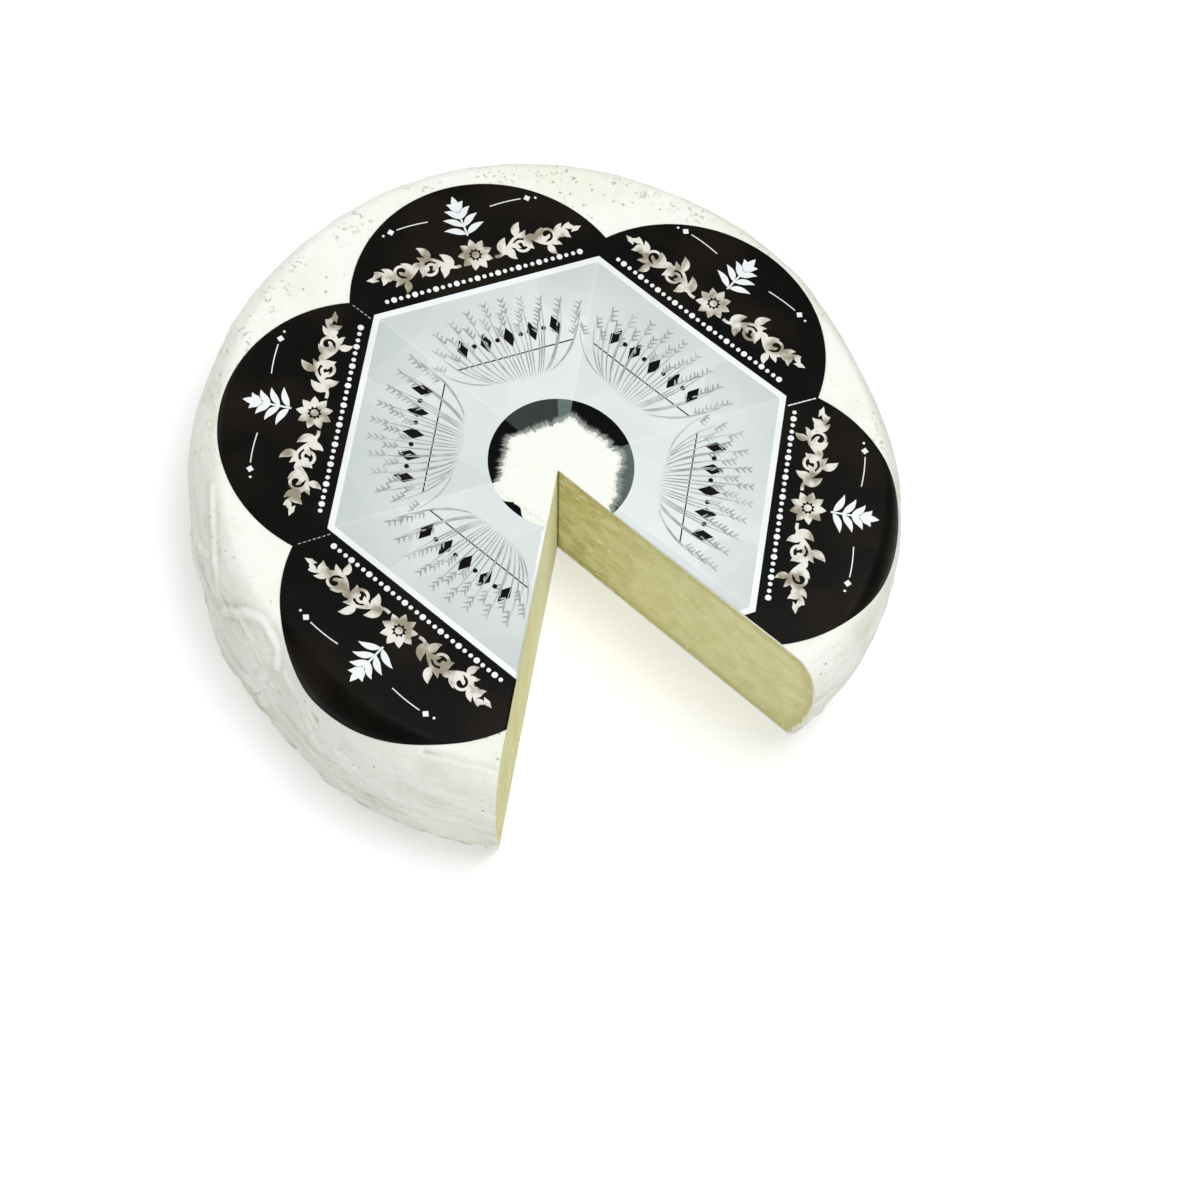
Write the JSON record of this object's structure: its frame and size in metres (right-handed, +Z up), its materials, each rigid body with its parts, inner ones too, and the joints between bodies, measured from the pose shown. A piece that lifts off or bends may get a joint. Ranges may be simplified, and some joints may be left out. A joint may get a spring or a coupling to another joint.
{
  "type": "sheep milk cheese wheel with one wedge cut out",
  "caption": "Low round cheese wheel with a white rind, pale paste at its two cut faces, a missing wedge and a lobed paper label on top.",
  "frame": {"origin": "on the wheel's axis, in the plane of its flat base", "axes": "+Z up out of the base along the wheel's axis; the missing wedge spans from -Y to 30 degrees below +X"},
  "size_m": [0.2189, 0.2209, 0.0618],
  "materials": {
    "cheese": "dry white bloomy rind, smooth pale yellow paste at the cuts",
    "label": "coated paper, black lobes and a pale grey hexagon"
  },
  "bodies": {
    "root": {"cheese": "cheese", "label": "label"}
  },
  "joints": []
}
